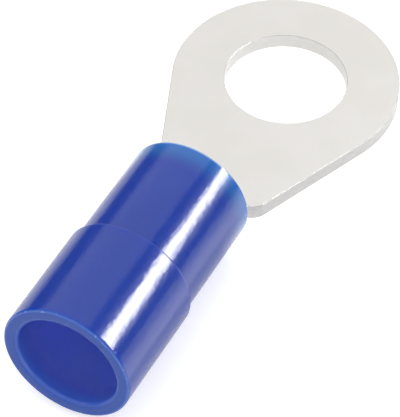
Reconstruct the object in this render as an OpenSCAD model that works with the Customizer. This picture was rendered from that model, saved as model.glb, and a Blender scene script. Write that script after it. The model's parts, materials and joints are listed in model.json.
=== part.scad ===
// Insulated ring terminal: a stamped and rolled sheet of tinned copper, with a moulded sleeve
// over its barrel. Millimetres. The stud hole's axis is +Z, the origin is on the underside of
// the tongue, and the wire goes in from -X.

/* [Sheet] */
// Thickness of the copper sheet
sheet_t = 0.7; // [0.6:0.05:0.9]
// Rounding that blanking leaves on the upper edge of the stud hole
die_roll_r = 0.05; // [0.03:0.01:0.2]

/* [Ring tongue] */
// Diameter of the stud hole
stud_d = 5.3; // [4.3:0.1:6]
// Width across the ring
ring_w = 9.8; // [9:0.1:12]
// Distance from the stud hole's centre back to the corners of the shoulder
shoulder_x = 7.05; // [6.8:0.05:8.5]
// Width across the corners of the shoulder
shoulder_w = 4.9; // [4.8:0.1:5.8]
// Rounding of each corner of the shoulder
shoulder_r = 0.25; // [0.15:0.05:0.4]

/* [Neck] */
// Length along which the flat sheet dishes into a trough
neck_len = 1.35; // [1.2:0.05:2.5]
// Width of the sheet at its waist, measured round the trough
waist_w = 3.7; // [3.2:0.1:4.2]
// Distance of the waist behind the end of the flat sheet
waist_len = 0.6; // [0.4:0.05:1]
// Length along which the trough's walls close into a tube
closing_len = 1.3; // [0.9:0.1:2]
// How far the neck lifts the barrel's underside above the tongue's
barrel_lift = 0.1; // [0:0.05:0.3]

/* [Barrel] */
// Bore that takes the bare strands
bore_d = 2.3; // [2:0.1:2.6]
// Length of the closed barrel
barrel_len = 4.2; // [3.5:0.1:6]
// Gap left where the two edges of the sheet butt together on top
seam_gap = 0.06; // [0.02:0.02:0.16]
// Countersink at the rear of the bore, where the strands go in
strand_lead = 0.15; // [0.05:0.05:0.25]

/* [Sleeve] */
// Outside diameter over the barrel
grip_od = 5.3; // [5:0.1:6]
// Outside diameter over the wire's insulation
skirt_od = 5.65; // [5.5:0.05:6.6]
// Length of the part that grips the barrel, up to the outside step
grip_len = 5.3; // [4.8:0.1:7]
// Length of the wider part, from the step to the mouth
skirt_len = 5.2; // [3.5:0.1:7]
// Bore that takes the insulated wire
wire_d = 4.4; // [4.2:0.1:4.8]
// Length of the cone between the barrel's seat and the wire's bore
funnel_len = 0.9; // [0.5:0.1:1.5]
// Distance of the sleeve's end behind the end of the dishing
nose_gap = 0.2; // [0.15:0.05:0.5]
// Clearance between the barrel and its seat in the sleeve, each side
seat_gap = 0.02; // [0.01:0.01:0.04]
// Rounding of the sleeve's end at the ring
nose_r = 0.18; // [0.1:0.02:0.24]
// Rounding of the step
step_r = 0.08; // [0.04:0.02:0.12]
// Rounding of the mouth, inside and outside
lip_r = 0.15; // [0.08:0.01:0.2]

/* [Hidden] */
$fn = 96;

ring_r = ring_w / 2;
half_t = sheet_t / 2;
fold_r = bore_d / 2 + half_t;          // middle of the sheet, once rolled
barrel_r = bore_d / 2 + sheet_t;
axis_z = barrel_lift + barrel_r;
cut = 1;                               // how far a cutting body runs past what it cuts

// Stations along the part, measured back from the stud hole
neck_x = shoulder_x + 0.2;             // end of the flat sheet
trough_x = neck_x + neck_len;          // the sheet has its full curve from here on
barrel_x = trough_x + closing_len;     // the tube is closed from here on
barrel_end = barrel_x + barrel_len;
nose_x = trough_x + nose_gap;
step_x = nose_x + grip_len;
mouth_x = step_x + skirt_len;

// Half widths of the sheet, measured round its curve
tail_w = shoulder_w / 2 - (neck_x - shoulder_x);   // the corners are cut back at 45 degrees
closed_w = PI * fold_r - seam_gap / 2;

// Eases from 0 to 1
function ease(u) = let (v = max(0, min(1, u))) v * v * (3 - 2 * v);
// Points on an arc about a centre, from one angle to another
function arc(centre, r, from, to, steps = 6) =
    [for (i = [0 : steps]) centre + r * [cos(from + (to - from) * i / steps), sin(from + (to - from) * i / steps)]];

// ---- Terminal ----

// Half of the tongue's plan from the ring's flank to the neck: the flank touches the ring and
// ends in a rounded corner, behind which the sheet is cut back at 45 degrees
function flank(side) =
    let (corner = [-shoulder_x, shoulder_w / 2],
         touch = atan2(corner.y, corner.x) - acos(ring_r / norm(corner)),
         // the rounding is tangent to the flank and to the cut behind it
         turn = (135 - touch) / 2,
         bisector = touch + turn,
         centre = corner - shoulder_r / cos(turn) * [cos(bisector), sin(bisector)])
    [for (p = concat([ring_r * [cos(touch), sin(touch)]],
                     arc(centre, shoulder_r, touch, 135),
                     [[-neck_x, tail_w]]))
        [p.x, side * p.y]];

module tongue() {
    linear_extrude(sheet_t) {
        circle(ring_r);
        polygon(concat(flank(1), [for (i = [len(flank(-1)) - 1 : -1 : 0]) flank(-1)[i]]));
    }
}

// Dishing, lift and width of the sheet at a distance x behind the stud hole
function dish(x) = ease((x - neck_x) / neck_len);
function bend(x) = dish(x) / fold_r;
function lift(x) = barrel_lift * dish(x);
function half_width(x) =
    let (waist_x = neck_x + waist_len,
         narrowing = max(0, min(1, 1 - (x - neck_x) / waist_len)))
    waist_w / 2 + (tail_w - waist_w / 2) * pow(narrowing, 2)
        + (closed_w - waist_w / 2) * ease((x - waist_x) / (barrel_x - waist_x));

// One section of the sheet: its middle line is an arc of curvature k through the tongue's
// mid-plane, and each point is set off to both sides along the arc's normal. slim narrows
// the section all round, where it sinks into the solid it joins.
function section(x, slim = 0, turns = 34) =
    let (k = max(bend(x), 1e-4),
         w = half_width(x) - slim,
         h = half_t - slim,
         line = [for (i = [0 : turns]) (2 * i / turns - 1) * w * k * 180 / PI],
         z = lift(x) + half_t + 1 / k,
         off = function (a, d) [-x, sin(a) * (1 / k + d), z - cos(a) * (1 / k + d)])
    concat([for (a = line) off(a, h)],
           [for (i = [turns : -1 : 0]) off(line[i], -h)]);

// Skin through a list of sections. Each section's points run along one side of the sheet and
// back along the other, so its two ends are closed by strips across the thickness, and the
// triangles of its two halves mirror each other.
module skin(sections) {
    n = len(sections[0]);
    half = n / 2;
    last = len(sections) - 1;
    polyhedron(
        points = [for (r = sections) each r],
        faces = concat(
            [for (i = [0 : half - 2])
                each [[i, n - 1 - i, n - 2 - i], [i, n - 2 - i, i + 1]]],
            [for (i = [0 : half - 2])
                each [[last * n + i, last * n + n - 2 - i, last * n + n - 1 - i],
                      [last * n + i, last * n + i + 1, last * n + n - 2 - i]]],
            [for (s = [0 : last - 1], i = [0 : n - 1])
                let (j = (i + 1) % n,
                     a = s * n + i, b = s * n + j,
                     c = (s + 1) * n + j, d = (s + 1) * n + i)
                each i % half < half / 2 - 0.5
                    ? [[a, b, c], [a, c, d]]
                    : [[a, b, d], [b, c, d]]]),
        convexity = 6);
}

// The sheet's transition from the flat tongue to the closed barrel
module neck() {
    root = 0.1;            // how far each end sinks into its neighbour
    slim = 0.02;
    near = 0.03;           // first and last full sections, this far clear of the neighbours
    stations = 26;
    from = neck_x + near;
    to = barrel_x - near;
    skin(concat(
        [section(neck_x - root, slim)],
        [for (i = [0 : stations]) section(from + (to - from) * i / stations)],
        [section(barrel_x + root, slim)]));
}

// The rolled tube, open along its seam
module barrel() {
    seam = asin(seam_gap / 2 / fold_r);
    translate([-barrel_x, 0, axis_z])
        rotate([0, -90, 0])
            rotate_extrude(angle = 360 - 2 * seam, start = seam)
                polygon([[bore_d / 2, 0], [barrel_r, 0], [barrel_r, barrel_len],
                         [bore_d / 2 + strand_lead, barrel_len],
                         [bore_d / 2, barrel_len - strand_lead]]);
}

// The stud hole, with the rounding that the punch leaves on its upper edge
module stud_hole() {
    translate([0, 0, -cut])
        cylinder(d = stud_d, h = sheet_t + 2 * cut);
    translate([0, 0, sheet_t])
        rotate_extrude()
            polygon(concat([[stud_d / 2 - cut, -die_roll_r]],
                           arc([stud_d / 2 + die_roll_r, -die_roll_r], die_roll_r, 180, 90),
                           [[stud_d / 2 + die_roll_r, cut], [stud_d / 2 - cut, cut]]));
}

module terminal() {
    color([0.88, 0.87, 0.85]) {
        difference() {
            tongue();
            stud_hole();
        }
        neck();
        barrel();
    }
}

// ---- Sleeve ----

// Half section of the sleeve: [radius, distance behind the nose], anticlockwise
function sleeve_profile() =
    let (seat_r = barrel_r + seat_gap,
         grip_r = grip_od / 2,
         skirt_r = skirt_od / 2,
         wire_r = wire_d / 2,
         funnel = barrel_end + seat_gap - nose_x,
         end = mouth_x - nose_x)
    concat(
        arc([seat_r + nose_r / 2, nose_r / 2], nose_r / 2, 180, 270, 4),
        arc([grip_r - nose_r, nose_r], nose_r, -90, 0),
        [[grip_r, grip_len]],
        arc([skirt_r - step_r, grip_len + step_r], step_r, -90, 0, 4),
        arc([skirt_r - lip_r, end - lip_r], lip_r, 0, 90),
        arc([wire_r + lip_r, end - lip_r], lip_r, 90, 180),
        [[wire_r, funnel + funnel_len], [seat_r, funnel]]);

module sleeve() {
    color([0.2, 0.28, 0.68])
        translate([-nose_x, 0, axis_z])
            rotate([0, -90, 0])
                rotate_extrude()
                    polygon(sleeve_profile());
}

terminal();
sleeve();
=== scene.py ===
# %% [markdown]
# # An insulated ring terminal
#
# The real object is about 24 mm long. It is made of two pieces: a tinned copper sheet that is
# stamped to a ring, dished at the neck and rolled to a barrel, and a moulded blue sleeve pushed
# over that barrel. This script dresses the packed model of it: it makes both pieces again as
# fine surfaces, gives them their finishes, and lights them as a small object is lit on a table.
#
# The packed model is loaded first. Its nodes say where everything goes, in metres.

# %% Load the frame
import json
import math

import bmesh
import bpy
import numpy as np
from mathutils import Matrix, Vector


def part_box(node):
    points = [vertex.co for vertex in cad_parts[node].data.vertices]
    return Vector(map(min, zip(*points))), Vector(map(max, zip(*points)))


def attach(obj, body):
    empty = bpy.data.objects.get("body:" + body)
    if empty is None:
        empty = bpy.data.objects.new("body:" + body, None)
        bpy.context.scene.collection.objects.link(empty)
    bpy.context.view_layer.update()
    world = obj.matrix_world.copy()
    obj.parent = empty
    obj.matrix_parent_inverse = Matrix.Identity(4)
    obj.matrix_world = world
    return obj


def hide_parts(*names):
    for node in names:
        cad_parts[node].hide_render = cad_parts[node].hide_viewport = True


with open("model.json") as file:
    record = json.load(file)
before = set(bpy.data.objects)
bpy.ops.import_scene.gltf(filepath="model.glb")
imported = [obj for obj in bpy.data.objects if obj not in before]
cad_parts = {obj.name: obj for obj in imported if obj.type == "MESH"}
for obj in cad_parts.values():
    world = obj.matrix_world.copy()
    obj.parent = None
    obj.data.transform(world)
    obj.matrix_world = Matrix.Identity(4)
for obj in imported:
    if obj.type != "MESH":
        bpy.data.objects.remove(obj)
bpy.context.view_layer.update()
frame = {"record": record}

MM = 0.001

# %% [markdown]
# ## Sizes
#
# Sizes that the packed model states are read from it: the mounts give the bores, the height of
# the barrel's axis and the sheet's thickness, and the boxes of the nodes give the lengths. The
# rest, such as the shoulder's corners or the roundings, are the part's own values, in mm.

# %% Sizes that the model states
mounts = {m["name"]: m for m in frame["record"]["mounts"]}
(term_low, term_high), (slv_low, slv_high) = (
    [np.array(corner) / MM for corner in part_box(node)] for node in ("terminal", "sleeve"))

stud_r = mounts["stud_hole"]["dims"]["r_mm"]
bore_r = mounts["barrel_bore"]["dims"]["r_mm"]
wire_r = mounts["wire_entry"]["dims"]["r_mm"]
axis_z = mounts["wire_entry"]["pos_m"][2] / MM
sheet_t = mounts["tongue_top"]["pos_m"][2] / MM
ring_r = term_high[1]
barrel_end = -term_low[0]
nose_x, mouth_x = -slv_high[0], -slv_low[0]
skirt_r = slv_high[1]
half_t = sheet_t / 2
fold_r = bore_r + half_t
barrel_r = bore_r + sheet_t
lift_z = axis_z - barrel_r
print(f"sheet {sheet_t:.2f}, ring {2 * ring_r:.2f}, hole {2 * stud_r:.2f}, lift {lift_z:.2f} mm")

# %% Sizes of the part's own
shoulder_x, shoulder_w, shoulder_r = 7.05, 4.9, 0.25
neck_len, waist_w, waist_len, closing_len = 1.35, 3.7, 0.6, 1.3
seam_gap, strand_lead, die_roll = 0.06, 0.15, 0.02
grip_r, grip_len, seat_gap, funnel_len = 2.65, 5.3, 0.02, 0.9
nose_r, step_r, lip_r, inner_lip_r = 0.08, 0.08, 0.12, 0.2
burr_r = 0.03                      # the lower edge is nearly sharp, softened by the plating
cut_back = 0.2                     # how far the 45 degree cut behind the shoulder's corner runs

neck_x = shoulder_x + cut_back
trough_x = neck_x + neck_len
barrel_x = trough_x + closing_len
tail_w = shoulder_w / 2 - (neck_x - shoulder_x)
closed_w = math.pi * fold_r - seam_gap / 2
print(f"behind the hole: neck from {neck_x:.2f}, tube from {barrel_x:.2f} to {barrel_end:.2f}, "
      f"sleeve from {nose_x:.2f} to {mouth_x:.2f} mm")

# %% [markdown]
# ## Camera
#
# A long lens from behind, above and slightly to the side: the sleeve's mouth comes towards us
# and the ring lies behind it. A short lens close by would show the mouth much larger than the
# ring. The camera comes first, because the softbox is placed by it. The columns of its matrix
# are its right, its up and its back.

# %% Camera
CAMERA_AT = Vector((-88.635, -39.94, 99.24)) * MM
FORWARD = Vector((0.60246, 0.29804, -0.74041)).normalized()
RIGHT = Vector((0.46529, -0.88488, 0.02241))
RIGHT = (RIGHT - FORWARD * RIGHT.dot(FORWARD)).normalized()
UP = RIGHT.cross(FORWARD)
FOCAL_LENGTH, SENSOR_WIDTH = 277.39, 36

lens = bpy.data.cameras.new("camera")
lens.lens = FOCAL_LENGTH
lens.sensor_width = SENSOR_WIDTH
lens.clip_start, lens.clip_end = 0.01, 10
camera = bpy.data.objects.new("camera", lens)
turned = Matrix((RIGHT, UP, -FORWARD)).transposed().to_4x4()
camera.matrix_world = Matrix.Translation(CAMERA_AT) @ turned
bpy.context.scene.collection.objects.link(camera)
bpy.context.scene.camera = camera
print("camera", [round(v / MM, 1) for v in CAMERA_AT], "mm, looking", [round(v, 3) for v in FORWARD])

# %% [markdown]
# ## Surfaces from grids
#
# Every surface here is a grid of points that numpy works out at once, rows along the piece and
# columns across it. Faces join each point to its neighbours. Several grids can share one mesh:
# points that meet are then welded, which is simpler than counting which index meets which.

# %% Grid helpers
def grid_faces(rows, cols, first=0, round_rows=False, round_cols=False):
    """The quads of a grid: each point with its right, lower right and lower neighbours."""
    r = np.arange(rows if round_rows else rows - 1)[:, None]
    c = np.arange(cols if round_cols else cols - 1)[None, :]
    r2, c2 = (r + 1) % rows, (c + 1) % cols
    around = r * cols + c, r * cols + c2, r2 * cols + c2, r2 * cols + c
    return first + np.stack(np.broadcast_arrays(*around), -1).reshape(-1, 4)


def blend(u):
    """Eases from 0 to 1: three squares less two cubes."""
    u = np.clip(u, 0, 1)
    return u * u * (3 - 2 * u)


print("a grid of 3 rows of 4 points has", len(grid_faces(3, 4)), "quads")

# %% [markdown]
# A piece is made from its points and faces in one go. Blender's bmesh welds the points that
# meet and turns all faces outward, and it can then tell whether the piece is closed: every edge
# of a closed piece has exactly two faces.

# %% From points and faces to a piece
WELD, TINY = 1e-4 * MM, 1e-5 * MM  # points closer than this are one; shorter edges are none
CREASE = 50                        # edges that turn by more degrees than this stay sharp


def make_piece(name, points, faces, marks=None):
    """A welded, outward-facing, smooth mesh object at the origin, from points in mm. marks is
    one number a point, kept as the attribute "cut"."""
    mesh = bpy.data.meshes.new(name)
    mesh.from_pydata((points * MM).tolist(), [], faces.tolist())
    if marks is not None:
        cut = mesh.attributes.new("cut", "FLOAT", "POINT")
        cut.data.foreach_set("value", marks.astype(np.float32))
    work = bmesh.new()
    work.from_mesh(mesh)
    bmesh.ops.remove_doubles(work, verts=work.verts, dist=WELD)
    bmesh.ops.dissolve_degenerate(work, edges=work.edges, dist=TINY)
    bmesh.ops.recalc_face_normals(work, faces=work.faces)
    open_edges = sum(len(e.link_faces) != 2 for e in work.edges)
    volume = work.calc_volume() / MM ** 3
    work.to_mesh(mesh)
    work.free()
    mesh.shade_smooth()
    mesh.set_sharp_from_angle(angle=math.radians(CREASE))
    piece = bpy.data.objects.new(name, mesh)
    bpy.context.scene.collection.objects.link(piece)
    print(f"{name}: {len(mesh.polygons)} faces, {open_edges} open edges, {volume:.1f} mm3")
    return piece

# %% [markdown]
# ## The blank of the terminal
#
# The real piece is blanked flat from a strip, then bent, so it is made that way here. Half of
# the flat blank is one grid: each row runs from the inside (the stud hole's edge, then the
# centre line) over the upper face, round the cut edge, and back under the lower face. A second
# grid is the wall of the hole. The other half is the mirror image. Solids joined by booleans
# could make the tongue, but not a sheet that bends evenly, and they leave long thin faces.

# %% Outline of the blank
def half_width(x):
    """Half width of the blank at a distance x behind the hole: a parabola from the shoulder to
    the waist, then an ease out to half the barrel's circumference."""
    waist_x = neck_x + waist_len
    narrowing = np.clip(1 - (x - neck_x) / waist_len, 0, 1)
    return (waist_w / 2 + (tail_w - waist_w / 2) * narrowing ** 2
            + (closed_w - waist_w / 2) * blend((x - waist_x) / (barrel_x - waist_x)))


def on_circle(radius, degrees):
    """Points of a circle: the radius times the cosine and the sine of each angle."""
    a = np.radians(degrees)
    return radius * np.stack([np.cos(a), np.sin(a)], -1)


def between(start, stop, count):
    """Evenly spaced points of a straight line of count points, without its two ends."""
    return start + (stop - start) * np.linspace(0, 1, count)[1:-1, None]


RING_POINTS, FLANK_POINTS, CORNER_POINTS, CUT_POINTS = 90, 26, 9, 5
NECK_POINTS, BARREL_POINTS = 60, 26
LEAD_SHARES = np.array([0.8, 0.6, 0.4, 0.2])   # points along the countersink, from its start


def outline():
    """Half the outline, from the ring's tip to the barrel's rear: the ring's arc up to where the
    flank touches it, the straight flank, the shoulder's rounded corner, the 45 degree cut behind
    it, and the edge of neck and barrel."""
    corner = np.array([-shoulder_x, shoulder_w / 2])
    touch = np.degrees(np.arctan2(corner[1], corner[0]) - np.arccos(ring_r / np.hypot(*corner)))
    turn = (135 - touch) / 2
    centre = corner - on_circle(shoulder_r / math.cos(math.radians(turn)), touch + turn)
    ring = on_circle(ring_r, np.linspace(0, touch, RING_POINTS))
    round_corner = centre + on_circle(shoulder_r, np.linspace(touch, 135, CORNER_POINTS))
    flank = between(ring[-1], round_corner[0], FLANK_POINTS)
    cut = between(round_corner[-1], np.array([-neck_x, tail_w]), CUT_POINTS)
    x = np.concatenate([np.linspace(neck_x, barrel_x, NECK_POINTS),
                        np.linspace(barrel_x, barrel_end, BARREL_POINTS)[1:],
                        barrel_end - strand_lead * LEAD_SHARES])
    x = np.unique(x.round(6))
    return np.vstack([ring, flank, round_corner, cut, np.stack([-x, half_width(x)], -1)])


edge = outline()
along = np.gradient(edge, axis=0)
along[0] = (0, 1)
along[edge[:, 0] < -barrel_x] = (-1, 0)
outward = np.stack([along[:, 1], -along[:, 0]], -1) / np.hypot(*along.T)[:, None]
print(len(edge), "points along half the outline")

# %% [markdown]
# Each point of the outline is paired with a point inside. The first ones share the stud hole's
# edge out between them, up to the hole's rearmost point. The next ones walk back along the
# centre line, and from the neck on a row runs straight across the sheet, as the bend needs.

# %% Rows of the half blank
HOLE_SHARE_X = -3.6                # the hole is shared out by the outline in front of this
polar = np.degrees(np.arctan2(edge[:, 1], edge[:, 0]))
on_hole = edge[:, 0] > HOLE_SHARE_X
hole_rows = np.flatnonzero(on_hole)
hole_angle = polar[hole_rows] * 180 / polar[hole_rows[-1]]


def inside(hole_r):
    """The inner end of each row, for a hole of this radius at that face."""
    rows = np.zeros_like(edge)
    rows[on_hole] = on_circle(hole_r, hole_angle)
    rows[hole_rows[-1], 1] = 0
    start = edge[hole_rows[-1], 0]
    share = np.clip((start - edge[:, 0]) / (start + neck_x), 0, 1)
    centre_x = np.where(edge[:, 0] > -neck_x, -hole_r - share * (neck_x - hole_r), edge[:, 0])
    rows[~on_hole, 0] = centre_x[~on_hole]
    return rows


print(len(hole_rows), "rows start at the hole,", len(edge) - len(hole_rows), "behind it")

# %% [markdown]
# The cut edge isn't square. The punch draws the upper edge over a little, which is called the
# die roll, and leaves the lower edge sharp, with a burr that the plating softens. A Bevel
# modifier could round both, but the row's own points put the rounding where it belongs.

# %% Profile of the cut edge
ARC = np.linspace(0, 90, 7)
WALL_POINTS = 8


def edge_profile():
    """The cut edge from the upper face to the lower: the die's roll, the wall and the burr's
    rounding. Columns: distance in from the outline, height over the middle of the sheet."""
    a = np.radians(ARC)
    roll = np.stack([die_roll * (1 - np.sin(a)), half_t - die_roll * (1 - np.cos(a))], -1)
    wall = np.linspace(half_t - die_roll, -half_t + burr_r, WALL_POINTS)[1:-1]
    burr = np.stack([burr_r * (1 - np.cos(a)), -half_t + burr_r * (1 - np.sin(a))], -1)
    return np.vstack([roll, np.stack([wall * 0, wall], -1), burr])


profile = edge_profile()
print(len(profile), "points from the upper face to the lower")

# %% The half blank
# shares of the way from the inner end of a row to the edge, closer together near the edge
ACROSS = np.concatenate([np.linspace(0, 0.93, 38), [0.965, 0.985, 1.0]])


def face(rounding, shares):
    """One face of the half blank: each row runs by these shares from its inner end to the edge,
    less the rounding there."""
    start = inside(stud_r + rounding)
    return start[:, None] + shares[None, :, None] * (edge - outward * rounding - start)[:, None]


top, low = face(die_roll, ACROSS), face(burr_r, ACROSS[::-1])
rim = edge[:, None] - outward[:, None] * profile[None, :, :1]
plan = np.concatenate([top[:, :-1], rim, low[:, 1:]], 1)
flat = np.full(len(ACROSS) - 1, half_t)
height = np.broadcast_to(np.concatenate([flat, profile[:, 1], -flat]), plan.shape[:2])
print("half blank:", plan.shape[0], "rows of", plan.shape[1])

# %% [markdown]
# ## Bending the blank
#
# One bend does the whole neck and barrel. At each distance behind the hole the sheet's middle
# line is an arc: its curvature eases from none, at the tongue, to that of the barrel. A point
# at arc length s lands at the angle s times the curvature, and a point above the middle of the
# sheet moves along the arc's normal. The same eased value lifts the barrel a little. The Simple
# Deform modifier bends a whole piece at one curvature, so it can't make the way from flat to tube.

# %% The bend
def bent(plan, height):
    """Points [x, arc length across] and heights over the sheet's middle, bent into place."""
    x, s = -plan[..., 0], plan[..., 1]
    dish = blend((x - neck_x) / neck_len)
    angle = s * dish / fold_r
    # a chord's share of its arc; np.sinc(t) is sin(pi t) / (pi t), and 1 where t is 0
    y = s * np.sinc(angle / math.pi) - np.sin(angle) * height
    rise = s * np.sinc(angle / 2 / math.pi) * np.sin(angle / 2)
    z = half_t + lift_z * dish + rise + np.cos(angle) * height
    return np.stack([-x, y, z], -1)


def rear_rounded(plan, height):
    """Heights at the rear of the barrel: the inside is countersunk for the strands."""
    past = np.clip(-plan[..., 0] - (barrel_end - strand_lead), 0, strand_lead)
    near = np.clip(-plan[..., 0] - (barrel_end - burr_r), 0, burr_r)
    return np.clip(height, -half_t + burr_r - np.sqrt(burr_r ** 2 - near ** 2), half_t - past)


blank = bent(plan, rear_rounded(plan, height))
print(f"bent, the sheet reaches {blank[..., 2].max():.2f} mm up")

# %% [markdown]
# The wall of the hole closes the upper face to the lower one. Where punch and die sheared the
# sheet, the points carry a mark, by which the finish finds the cut walls later. The hole's wall
# has less of it, so it is painted lighter: painted light that makes up for the shaded table it
# mirrors.

# %% The hole's wall
# a smaller mark paints the hole's wall lighter than the other cut walls: painted light for the
# shaded table it mirrors
HOLE_MARK_PAINTED_LIGHTER = 0.76

hole_profile = profile[::-1]
hole_plan = on_circle(1, hole_angle)[:, None] * (stud_r + hole_profile[None, :, :1])
hole_plan[-1, :, 1] = 0
hole_height = np.broadcast_to(hole_profile[:, 1], hole_plan.shape[:2])
hole = bent(hole_plan, hole_height)
print("hole's wall:", hole.shape[0], "rows of", hole.shape[1])

# %% The whole terminal
rows, cols = plan.shape[:2]
i = np.arange(cols // 2)
rear_cap = (rows - 1) * cols + np.stack([i, i + 1, cols - 2 - i, cols - 1 - i], -1)
half_points = np.vstack([blank.reshape(-1, 3), hole.reshape(-1, 3)])
half_faces = np.vstack([grid_faces(rows, cols), rear_cap,
                        grid_faces(*hole_plan.shape[:2], first=rows * cols)])
is_cut = np.abs(profile[:, 1]) < half_t - 1e-6
uncut = np.zeros(len(flat))
cut_marks = np.concatenate([
    np.broadcast_to(np.concatenate([uncut, is_cut, uncut]), (rows, cols)).ravel(),
    np.broadcast_to(HOLE_MARK_PAINTED_LIGHTER * is_cut[::-1], hole_plan.shape[:2]).ravel()])
terminal = make_piece(
    "terminal_sheet",
    np.vstack([half_points, half_points * [1, -1, 1]]),
    np.vstack([half_faces, half_faces[:, ::-1] + len(half_points)]),
    np.tile(cut_marks, 2))
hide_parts("terminal")
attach(terminal, "root")

# %% [markdown]
# ## The sleeve
#
# The sleeve is moulded on a round core, so it is a profile carried round the barrel's axis. The
# profile is a closed loop of straight lines whose corners are filleted, with a few points close
# to each fillet, so that the flat parts stay flat when the mesh is shaded smooth. The Screw and
# Bevel modifiers could do the same, but then each corner's radius would hide in edge weights.

# %% Profile with filleted corners
GUARD = 0.04                       # how close to a fillet the next point of a straight part lies
SPACING = 0.35                     # distance of the points along a straight part


def filleted(corners, radii, steps=8):
    """A closed loop of corners, each replaced by the arc of its radius that touches both sides:
    the arc starts and ends at radius times the tangent of half the turn from the corner."""
    corners = np.array(corners, float)
    before = np.roll(corners, 1, 0) - corners
    after = np.roll(corners, -1, 0) - corners
    before /= np.hypot(*before.T)[:, None]
    after /= np.hypot(*after.T)[:, None]
    half = np.arccos(np.clip((before * after).sum(1), -1, 1)) / 2
    reach = np.array(radii) / np.tan(half)
    middle = before + after
    middle /= np.hypot(*middle.T)[:, None]
    centre = corners + middle * (np.array(radii) / np.sin(half))[:, None]
    first = corners + before * reach[:, None] - centre
    final = corners + after * reach[:, None] - centre
    t = np.linspace(0, 1, steps + 1)[None, :, None]
    turn = (math.pi - 2 * half)[:, None, None]
    # from the first radius to the last, each point is a mix of the two by sines of the angle
    swung = np.sin((1 - t) * turn) * first[:, None] + np.sin(t * turn) * final[:, None]
    return centre[:, None] + swung / np.sin(turn)


def with_guards(arcs):
    """Joins the arcs to one loop, with points along each straight part: close to both arcs, and
    evenly spaced between."""
    loop = []
    for arc, following in zip(arcs, np.roll(arcs, -1, 0)):
        start, stop = arc[-1], following[0]
        length = math.dist(start, stop)
        guard = min(GUARD, length / 4) / length
        shares = np.linspace(guard, 1 - guard, max(2, int(length / SPACING)))
        loop += [arc, start + (stop - start) * shares[:, None]]
    return np.vstack(loop)


end, funnel = mouth_x - nose_x, barrel_end + seat_gap - nose_x
seat_r = barrel_r + seat_gap
# each corner: its distance behind the nose, its distance from the axis, its rounding
sleeve_corners = {
    "nose, outside": (0, grip_r, nose_r),
    "step, inner corner": (grip_len, grip_r, 0.03),
    "step, outer corner": (grip_len, skirt_r, step_r),
    "mouth, outside": (end, skirt_r, lip_r),
    "mouth, inside": (end, wire_r, inner_lip_r),
    "funnel, wide end": (funnel + funnel_len, wire_r, 0.3),
    "funnel, narrow end": (funnel, seat_r, 0.1),
    "nose, inside": (0, seat_r, nose_r / 2),
}
corner_rows = np.array(list(sleeve_corners.values()))
sleeve_profile = with_guards(filleted(corner_rows[:, :2], corner_rows[:, 2]))
print(len(sleeve_profile), "points round the sleeve's profile")

# %% Carry the profile round the axis
ROUND = 192
turns = np.linspace(0, 2 * math.pi, ROUND, endpoint=False)[:, None]
sleeve_points = np.stack(np.broadcast_arrays(
    -nose_x - sleeve_profile[None, :, 0],
    sleeve_profile[None, :, 1] * np.sin(turns),
    axis_z + sleeve_profile[None, :, 1] * np.cos(turns)), -1)
sleeve = make_piece("blue_sleeve", sleeve_points.reshape(-1, 3),
                    grid_faces(ROUND, len(sleeve_profile), round_rows=True, round_cols=True))
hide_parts("sleeve")
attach(sleeve, "root")

# %% [markdown]
# ## Shader maths
#
# Nodes are easier to read as sums. A Flow wraps one socket, and its operators add the Math
# nodes. A Bench adds any other node: its type, its settings, then its sockets. Nodes that stand
# in a graph could be wired one by one, but a page of links hides the idea behind a finish.

# %% Flow
class Flow:
    """A socket that can be used in sums."""
    def __init__(self, bench, socket):
        self.bench, self.socket = bench, socket

    def __add__(self, other):
        return self.bench.maths("ADD", self, other)

    def __sub__(self, other):
        return self.bench.maths("SUBTRACT", self, other)

    def __rsub__(self, other):
        return self.bench.maths("SUBTRACT", other, self)

    def __mul__(self, other):
        return self.bench.maths("MULTIPLY", self, other)

    __radd__, __rmul__ = __add__, __mul__


print("a flow knows", *(name for name in vars(Flow) if name.endswith(("add__", "sub__", "mul__"))))

# %% Bench
class Bench:
    """Adds nodes to one node tree."""
    def __init__(self, tree):
        self.tree = tree
        tree.nodes.clear()

    def node(self, kind, settings=(), sockets=(), out=0):
        """Adds a node and gives one of its outputs. settings are set first, then sockets, by
        name or number, with values or links."""
        made = self.tree.nodes.new(kind)
        for key, value in dict(settings).items():
            setattr(made, key, value)
        for key, value in dict(sockets).items():
            if isinstance(value, Flow):
                self.tree.links.new(value.socket, made.inputs[key])
            else:
                made.inputs[key].default_value = value
        return Flow(self, made.outputs[out]) if len(made.outputs) else made

    def maths(self, operation, a, b=0.0):
        """One Math node on two numbers or flows."""
        return self.node("ShaderNodeMath", {"operation": operation}, {0: a, 1: b})

    def mix(self, share, a, b):
        """Colour a where share is 0 and b where it is 1."""
        return self.node("ShaderNodeMix", {"data_type": "RGBA"}, {0: share, 6: a, 7: b}, out=2)

    def place(self, scale=(1, 1, 1)):
        """Object coordinates, each axis times its own scale."""
        spot = self.node("ShaderNodeTexCoord", out="Object")
        return self.node("ShaderNodeMapping", sockets={"Vector": spot, "Scale": scale})

    def noise(self, grain, stretch=(1, 1, 1), detail=2.0):
        """Noise from 0 to 1, of about this grain in mm, drawn out along the axes by stretch."""
        where = self.place(tuple(1 / (grain * MM * s) for s in stretch))
        return self.node("ShaderNodeTexNoise", out="Fac",
                         sockets={"Vector": where, "Scale": 1.0, "Detail": detail})

    def ramp(self, value, start, stop, low=0.0, high=1.0):
        """A smooth step: low up to start, high from stop on."""
        return self.node("ShaderNodeMapRange", {"interpolation_type": "SMOOTHSTEP"},
                         {0: value, 1: start, 2: stop, 3: low, 4: high})

    def bump(self, height, depth):
        """Relief of this depth in mm where height runs from 0 to 1."""
        return self.node("ShaderNodeBump",
                         sockets={"Strength": 1.0, "Distance": depth * MM, "Height": height})


print("a bench adds", *(name for name in vars(Bench) if not name.startswith("_")))

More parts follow.
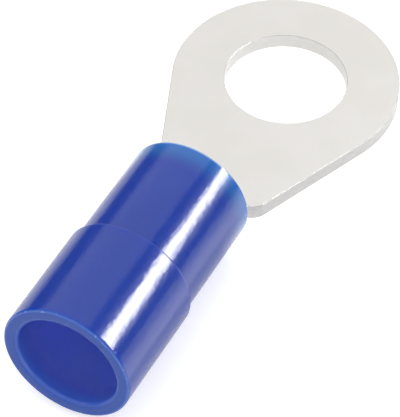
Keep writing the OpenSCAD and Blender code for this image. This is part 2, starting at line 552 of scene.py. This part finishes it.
# %% Colours and materials
def shade(r, g, b):
    """A colour given as it looks, 0 to 255, in the linear values that shaders use: a straight
    part near black, and above it the power 2.4."""
    c = np.array([r, g, b]) / 255
    return (*np.where(c <= 0.04045, c / 12.92, ((c + 0.055) / 1.055) ** 2.4).tolist(), 1.0)


def finish(name, recipe):
    """A material: recipe gets a Bench and returns the sockets of a Principled shader."""
    material = bpy.data.materials.new(name)
    material.use_nodes = True
    bench = Bench(material.node_tree)
    shader = bench.node("ShaderNodeBsdfPrincipled", sockets=recipe(bench))
    bench.node("ShaderNodeOutputMaterial", sockets={"Surface": shader})
    print(name, "has", len(material.node_tree.nodes), "nodes")
    return material


print("a mid grey, 128 of 255, is", round(shade(128, 128, 128)[0], 3), "in linear light")

# %% [markdown]
# ## Finish of the sheet
#
# Tin plate on copper is a pale, matt metal. The plating is not quite even: it has a fine grain,
# faint clouds, and the cut walls, where the punch sheared the copper before plating, are a
# little darker and carry lines along the direction of shear. Noise in the object's own
# coordinates makes all of this without an image, and at the same size wherever the piece stands.

# %% Tinned sheet
def tinned(b):
    """Metal whose colour mixes face and cut wall by the mark, with grain, rolling and shear."""
    cut = b.node("ShaderNodeAttribute", {"attribute_name": "cut"}, out="Fac")
    clouds = b.noise(2.2, detail=3.0)
    grain = b.noise(0.09, detail=2.0)
    rolled = b.noise(0.5, (6, 1, 1), detail=2.0)
    shear = b.noise(0.3, (1, 1, 0.12), detail=3.0)
    face = b.mix(b.ramp(clouds, 0.35, 0.65), shade(253, 250, 246), shade(250, 247, 242))
    wall = b.mix(b.ramp(shear, 0.3, 0.7), shade(188, 187, 186), shade(174, 173, 172))
    colour = b.mix(cut, face, wall)
    relief = grain * 0.5 + rolled * 0.25 + cut * shear * 2.0
    return {"Base Color": colour, "Metallic": 1.0,
            "Roughness": 0.33 + 0.06 * grain + 0.03 * rolled, "Normal": b.bump(relief, 0.004)}


terminal.data.materials.append(finish("tinned_sheet", tinned))

# %% [markdown]
# ## Finish of the sleeve
#
# Soft PVC, glossy from the mould and slightly translucent: light goes in, spreads and comes out
# bluer, which is what subsurface scattering does. Over the barrel it is backed by metal and
# looks deep. At the nose, where only a thin wall hangs free, light comes through: there the blue
# is painted lighter and greener, up to a painted pale glow at the edge. The mouth's rim is
# painted a greener blue for the light that gathers in it, with a painted highlight line and
# painted glints along its outer edge. The bore lies in shade and looks darker, so it is painted
# lighter, the more so deeper in. Thin parts could be left to the scattering alone, but ramps
# along the axis are quicker to render and easier to set.

# %% Where the blue changes
PAINTED_GLOW_NOSE = (0.1, 1.3)             # mm behind the nose: the painted glow of light through the thin wall fades between these
PAINTED_PALE_EDGE = (0.0, 0.16)            # mm behind the nose: the painted pale glow at the edge fades between these
PAINTED_PALE_SIDE = (-2.2, -1.5)           # y in mm: the painted pale glow comes up between these
RIM_PAINTED_GLOW = (0.2, 0.05)                  # mm in front of the mouth: the rim's painted greener blue begins, is full
PAINTED_LINE_BACK = (0.12, 0.08)           # mm in front of the mouth: the painted highlight line begins, is full
PAINTED_LINE_IN = (0.12, 0.07, 0.05, 0.0)  # mm within the outside: the painted highlight line begins, is full, fades, ends
BORE_DEPTH = 3.0                   # mm in front of the mouth where the bore is painted lightest, against its shade
BEHIND_LIP = (0.8, 0.15)           # mm in front of the mouth: the lip's painted lighter blue begins, is full
LIP_OUT = (0.02, 0.16)             # mm beyond the wire's bore: bore below, rim above
print(f"the nose hangs free over {barrel_x - nose_x:.2f} mm, up to the closed tube")

# %% Blue PVC
def sleeve_places(b):
    """Where a point is: its x and y, and its distance from the sleeve's axis."""
    spot = b.node("ShaderNodeTexCoord", out="Object")
    x, y = (b.node("ShaderNodeSeparateXYZ", sockets={0: spot}, out=axis) for axis in "XY")
    section = b.node("ShaderNodeMapping", sockets={
        "Vector": spot, "Location": (0, 0, -axis_z * MM), "Scale": (0, 1, 1)})
    return x, y, b.node("ShaderNodeVectorMath", {"operation": "LENGTH"}, {0: section}, out="Value")


def blue_pvc(b):
    """Glossy scattering blue, with painted light in zones along the axis and by the distance from
    it.
    """
    x, y, radius = sleeve_places(b)

    def behind(start, stop):
        """0 in front of the first distance behind the stud hole, 1 behind the second, in mm."""
        return b.ramp(x, -stop * MM, -start * MM, 1.0, 0.0)

    def behind_nose(zone):
        """The same, with both distances measured back from the nose."""
        return behind(nose_x + zone[0], nose_x + zone[1])

    def at_mouth(zone):
        """The same, with both distances measured forward from the mouth."""
        return behind(mouth_x - zone[0], mouth_x - zone[1])

    flow = b.noise(0.35, (5, 1, 1), detail=2.0)
    skin = b.noise(0.22, detail=1.0)
    sag = b.noise(1.6, detail=0.0)
    clouds = b.noise(3.0, (2, 1, 1))
    colour = b.mix(b.ramp(clouds, 0.3, 0.7), shade(50, 78, 177), shade(54, 83, 183))
    # the thin nose: painted light through its thin wall, and a painted pale glow where its rounding
    # begins
    thin = b.mix(0.75, colour, shade(66, 138, 206))
    colour = b.mix(behind_nose(PAINTED_GLOW_NOSE), thin, colour)
    upper = b.ramp(y, PAINTED_PALE_SIDE[0] * MM, PAINTED_PALE_SIDE[1] * MM)
    pale = b.mix(upper, colour, shade(225, 240, 255))
    colour = b.mix(behind_nose(PAINTED_PALE_EDGE), pale, colour)
    # the mouth's rim, painted a greener blue as painted light, with a painted line at its edge
    colour = b.mix(at_mouth(RIM_PAINTED_GLOW), colour, shade(22, 82, 178))
    # a painted highlight line along the rim's outer edge, with painted glints on it
    start, full, fade, end = ((skirt_r - inward) * MM for inward in PAINTED_LINE_IN)
    line = b.ramp(radius, start, full) * b.ramp(radius, fade, end, 1.0, 0.0) * at_mouth(PAINTED_LINE_BACK)
    painted_glints = b.ramp(b.noise(0.2, detail=0.0), 0.7, 0.76)
    colour = b.mix(line * (0.18 + 0.3 * painted_glints), colour, shade(170, 200, 240))
    # the bore, from its depth to the lip, painted lighter against the shade inside it
    bore_painted_light = b.mix(at_mouth((BORE_DEPTH, 0.0)), shade(129, 152, 243), shade(80, 98, 196))
    bore_painted_light = b.mix(at_mouth(BEHIND_LIP), bore_painted_light, shade(74, 112, 200))
    outside = b.ramp(radius, (wire_r + LIP_OUT[0]) * MM, (wire_r + LIP_OUT[1]) * MM)
    colour = b.mix(outside, bore_painted_light, colour)
    return {"Base Color": colour, "Roughness": 0.12 + 0.04 * skin, "IOR": 1.53,
            "Subsurface Weight": 1.0, "Subsurface Radius": (0.25, 0.4, 1.0),
            "Subsurface Scale": 0.8 * MM,
            "Normal": b.bump(sag * 0.6 + flow * 0.25 + skin * 0.3, 0.02)}


sleeve.data.materials.append(finish("blue_pvc", blue_pvc))

# %% [markdown]
# ## Table and light
#
# The terminal lies on a pale table. It rests on the ring's tip and on the sleeve's nose, so the
# table tilts by the few degrees that these two points give. A pale room gives the light. Looked
# at, room and table are white, and the table keeps a faint shadow. A plain white material would
# come out grey in the part's own shade, so the table also glows a little. Gloss sees more of
# that glow close to the part, where the shade is, than further off.

# %% Where the part rests
BELOW = 0.01                       # how far the table lies below the part, mm

rest_ahead = np.array([ring_r, 0.0])
rest_behind = np.array([-(nose_x + nose_r), axis_z - grip_r])
slope = (rest_ahead - rest_behind) / np.hypot(*(rest_ahead - rest_behind))


def on_table(x, y, above=0.0):
    """The point of the table at x, y, or one a little above it."""
    return [x, y, rest_ahead[1] + (x - rest_ahead[0]) * slope[1] / slope[0] - BELOW + above]


print(f"table tilt {math.degrees(math.asin(slope[1])):.2f} degrees")

# %% Table
def flat_piece(name, points):
    """A single quad through four corners in mm."""
    mesh = bpy.data.meshes.new(name)
    mesh.from_pydata((np.asarray(points) * MM).tolist(), [], [(0, 1, 2, 3)])
    piece = bpy.data.objects.new(name, mesh)
    bpy.context.scene.collection.objects.link(piece)
    return piece


SIDE = 1500                        # half the table's width, mm
table_corners = ((-SIDE, -SIDE), (SIDE, -SIDE), (SIDE, SIDE), (-SIDE, SIDE))
table = flat_piece("table", [on_table(x, y) for x, y in table_corners])
print("table", 2 * SIDE, "mm wide")

# %% The table's paper
TABLE_GLOW = 0.56                  # what the table adds to its own light when it is looked at
SHEEN_NEAR, SHEEN_FAR = 0.68, 0.28  # what gloss sees added, near the part and further off
SHEEN_TURN = (8.5, 10.0)           # mm from the hole's centre: where near turns to far


def seen(bench):
    """1 for rays that look at the surroundings: from the camera, in gloss and through glass."""
    path = [bench.node("ShaderNodeLightPath", out=o)
            for o in ("Is Camera Ray", "Is Glossy Ray", "Is Transmission Ray")]
    return bench.maths("MAXIMUM", bench.maths("MAXIMUM", path[0], path[1]), path[2])


def grey(value):
    """A neutral colour, given in linear light."""
    return (value, value, value, 1)


paper = bpy.data.materials.new("white_table")
paper.use_nodes = True
bench = Bench(paper.node_tree)
surface = bench.node("ShaderNodeBsdfDiffuse", sockets={"Color": grey(0.8)})
place = bench.node("ShaderNodeTexCoord", out="Object")
away = bench.node("ShaderNodeVectorMath", {"operation": "LENGTH"}, {0: place}, out="Value")
further = bench.ramp(away, SHEEN_TURN[0] * MM, SHEEN_TURN[1] * MM)
sheen = bench.mix(further, grey(SHEEN_NEAR), grey(SHEEN_FAR))
in_gloss = bench.node("ShaderNodeLightPath", out="Is Glossy Ray")
for sockets in ({"Strength": seen(bench) * TABLE_GLOW - in_gloss * TABLE_GLOW},
                {"Strength": in_gloss, "Color": sheen}):
    light = bench.node("ShaderNodeEmission", sockets=sockets)
    surface = bench.node("ShaderNodeAddShader", sockets={0: surface, 1: light})
bench.node("ShaderNodeOutputMaterial", sockets={"Surface": surface})
table.data.materials.append(paper)
print("paper has", len(paper.node_tree.nodes), "nodes")

# %% World
ROOM_LIGHT = 0.99                  # what the room gives as light; looked at, it is white

world = bpy.data.worlds.new("white_room")
bpy.context.scene.world = world
world.use_nodes = True
bench = Bench(world.node_tree)
sky = bench.node("ShaderNodeBackground",
                 sockets={"Strength": ROOM_LIGHT + seen(bench) * (1 - ROOM_LIGHT)})
bench.node("ShaderNodeOutputWorld", sockets={"Surface": sky})
print("room light", ROOM_LIGHT)

# %% [markdown]
# ## The softbox and its black cards
#
# A glossy cylinder shows a lamp as a line along it. The line lies where the surface is turned
# half-way between the camera and the lamp, so the lamp's direction follows from the line: the
# view is mirrored at the surface. Black cards on both sides of the softbox keep the blue deep
# next to the line. One more hides the horizon on the far side, a dark foil lies on the table
# there, a low card stands ahead, and a weak light brightens the near side. Only gloss sees
# them, so they shape the reflections and leave the room's light as it is.

# %% The view, mirrored
def mirrored(around):
    """Where the view goes after it meets the sleeve at this angle round it, from +Z to -Y: its
    part along the normal is turned round."""
    a = math.radians(around)
    normal = Vector((0, -math.sin(a), math.cos(a)))
    return FORWARD - 2 * FORWARD.dot(normal) * normal


def along_sleeve(start, stop, distance, length, splay=0.0):
    """Corners of a card parallel to the sleeve that shows on it from one angle to another. Its
    last side turns by splay, in degrees a mm of the sleeve."""
    corners = []
    for around, end in ((start, -1), (start, 1), (stop, 1), (stop, -1)):
        x = end * length / 2
        a = math.radians(around)
        surface = np.array([-(nose_x + mouth_x) / 2 + x, -grip_r * math.sin(a),
                            axis_z + grip_r * math.cos(a)])
        ray = np.array(mirrored(around + (splay * x if around == stop else 0)))
        corners.append(surface + ray * distance / math.hypot(ray[1], ray[2]))
    return corners


print("at 38 degrees the sleeve mirrors", [round(v, 2) for v in mirrored(38)])

# %% A card
def card(name, corners, strength=0.0, soft=(0.1, 0.1)):
    """A card that only gloss sees, from four corners in mm. Its light, or its black, fades out
    over the soft shares of its width, from its first side and from its last."""
    piece = flat_piece(name, corners)
    across = piece.data.attributes.new("across", "FLOAT", "POINT")
    across.data.foreach_set("value", [0.0, 0.0, 1.0, 1.0])
    material = bpy.data.materials.new(name)
    material.use_nodes = True
    bench = Bench(material.node_tree)
    across = bench.node("ShaderNodeAttribute", {"attribute_name": "across"}, out="Fac")
    fade = bench.ramp(across, 0.0, soft[0]) * bench.ramp(across, 1 - soft[1], 1.0, 1.0, 0.0)
    light = bench.node("ShaderNodeEmission", sockets={"Strength": strength})
    clear = bench.node("ShaderNodeBsdfTransparent")
    light = bench.node("ShaderNodeMixShader", sockets={0: fade, 1: clear, 2: light})
    bench.node("ShaderNodeOutputMaterial", sockets={"Surface": light})
    piece.data.materials.append(material)
    piece.visible_camera = piece.visible_diffuse = piece.visible_shadow = False
    piece.visible_transmission = False
    print(name, "is light" if strength else "is black")

# %% The softbox, the cards, the foil and the bounce
FOIL = [on_table(x, y, 0.05) for x, y in ((-40, 6), (80, 6), (80, 140), (-40, 140))]
AHEAD = [(80, y, z) for y, z in ((-80, -8), (80, -8), (80, 16), (-80, 16))]

# along the sleeve: from and to in degrees round it, then distance, length and splay
card("softbox", along_sleeve(31.6, 45.1, 60, 50, -0.23), 24.0, soft=(0.46, 0.36))
card("card_left", along_sleeve(17.0, 31.5, 61, 130), soft=(0.4, 0.5))
card("card_right", along_sleeve(46.0, 60.0, 61, 130), soft=(0.25, 0.5))
card("card_horizon", along_sleeve(-37.0, -19.0, 90, 220), soft=(0.05, 0.4))
card("foil", FOIL, soft=(0.26, 0.01))
card("bounce", along_sleeve(58.0, 80.0, 4.2, 40), 1.9, soft=(0.4, 0.4))
card("card_ahead", AHEAD, soft=(0.01, 0.3))

# %% [markdown]
# A weak key lamp above, a little towards the camera, gives the faint shadow its direction. A
# small lamp would draw the shadow with a hard edge, so this one is wide. Gloss doesn't see it,
# so it adds no second line to the sleeve.

# %% Key lamp
KEY_SIZE, KEY_ENERGY = 0.2, 0.09

key = bpy.data.lights.new("key", "AREA")
key.shape, key.size, key.size_y = "RECTANGLE", KEY_SIZE, KEY_SIZE
key.energy = KEY_ENERGY
key_lamp = bpy.data.objects.new("key", key)
key_at = Vector((-0.09, -0.06, 0.25))
to_part = (-key_at).to_track_quat("-Z", "Y").to_matrix().to_4x4()
key_lamp.matrix_world = Matrix.Translation(key_at) @ to_part
key_lamp.visible_glossy = False
bpy.context.scene.collection.objects.link(key_lamp)
print(f"key lamp {key_at.length / MM:.0f} mm from the hole")

# %% [markdown]
# ## Finish
#
# The Standard view shows a colour as it is written, where other views would soften it.

# %% Finish
bpy.context.scene.view_settings.view_transform = "Standard"
